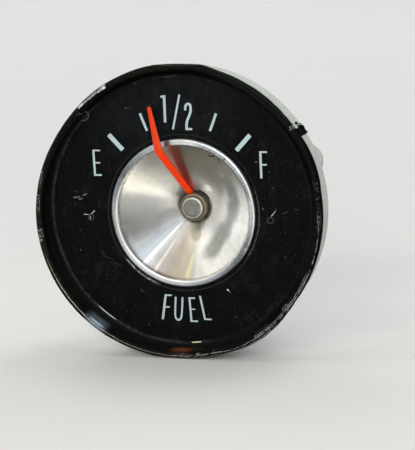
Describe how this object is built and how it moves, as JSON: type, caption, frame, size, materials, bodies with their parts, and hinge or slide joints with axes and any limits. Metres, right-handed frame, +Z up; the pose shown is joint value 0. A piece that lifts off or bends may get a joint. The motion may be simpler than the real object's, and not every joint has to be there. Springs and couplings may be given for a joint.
{
  "type": "fuel gauge",
  "caption": "Round moving-iron fuel gauge for a car dashboard: black pan dial with a spun cone, bent orange pointer, painted case with rear terminals and mounting ears.",
  "frame": {"origin": "where the axis of the round case crosses the front face of the dial", "axes": "+Y along the case axis towards the terminals, so the dial faces -Y; +Z up to the half mark; +X towards the full mark"},
  "size_m": [0.0664, 0.0446, 0.0664],
  "materials": {
    "black_enamel": "semi-gloss, chipped and dusty",
    "spun_aluminium": "turned, brushed round",
    "black_rivet": "semi-gloss",
    "orange_paint": "matt",
    "hub_bronze": "dull, handled",
    "cap_steel": "brushed, scratched",
    "bright_steel": "ground",
    "soft_iron": "dull grey",
    "brass": "dull, tarnished",
    "zinc_plate": "zinc plated",
    "die_cast_zinc": "as cast",
    "phenolic_brown": "satin",
    "copper_winding": "enamelled copper wire",
    "lead_enamel": "satin",
    "mint_grey_paint": "satin, worn",
    "vulcanised_fibre": "matt",
    "plated_screw": "yellowed plating"
  },
  "bodies": {
    "gauge_body": {"dial_pan": "black_enamel", "centre_cone": "spun_aluminium", "dial_rivets": "black_rivet", "front_bearing": "brass", "rear_bearing": "brass", "carrier_plate": "zinc_plate", "support_pillars": "bright_steel", "movement_frame": "die_cast_zinc", "frame_screws": "plated_screw", "bridge_pillars": "brass", "rear_bridge": "zinc_plate", "bridge_screws": "plated_screw", "pointer_stops": "bright_steel", "empty_coil_bobbin": "phenolic_brown", "empty_coil_winding": "copper_winding", "empty_pole_piece": "soft_iron", "full_coil_bobbin": "phenolic_brown", "full_coil_winding": "copper_winding", "full_pole_piece": "soft_iron", "pole_nuts": "plated_screw", "coil_leads": "lead_enamel", "housing_can": "mint_grey_paint", "housing_screws": "plated_screw", "mounting_ears": "mint_grey_paint", "ear_rivets": "bright_steel", "supply_terminal_stud": "brass", "sender_terminal_stud": "brass", "inner_insulators": "vulcanised_fibre", "outer_insulators": "vulcanised_fibre", "terminal_washers": "brass", "terminal_nuts": "brass"},
    "pointer_assembly": {"pointer": "orange_paint", "pointer_hub": "hub_bronze", "hub_cap": "cap_steel", "spindle": "bright_steel", "armature": "soft_iron", "counterweight": "brass"}
  },
  "joints": [
    {"name": "pointer_turn", "type": "hinge", "parent": "gauge_body", "child": "pointer_assembly", "pos_m": [0.0008, 0, -0.0005], "axis": [0, 1, 0], "range_deg": [-31.25, 60.75]}
  ]
}
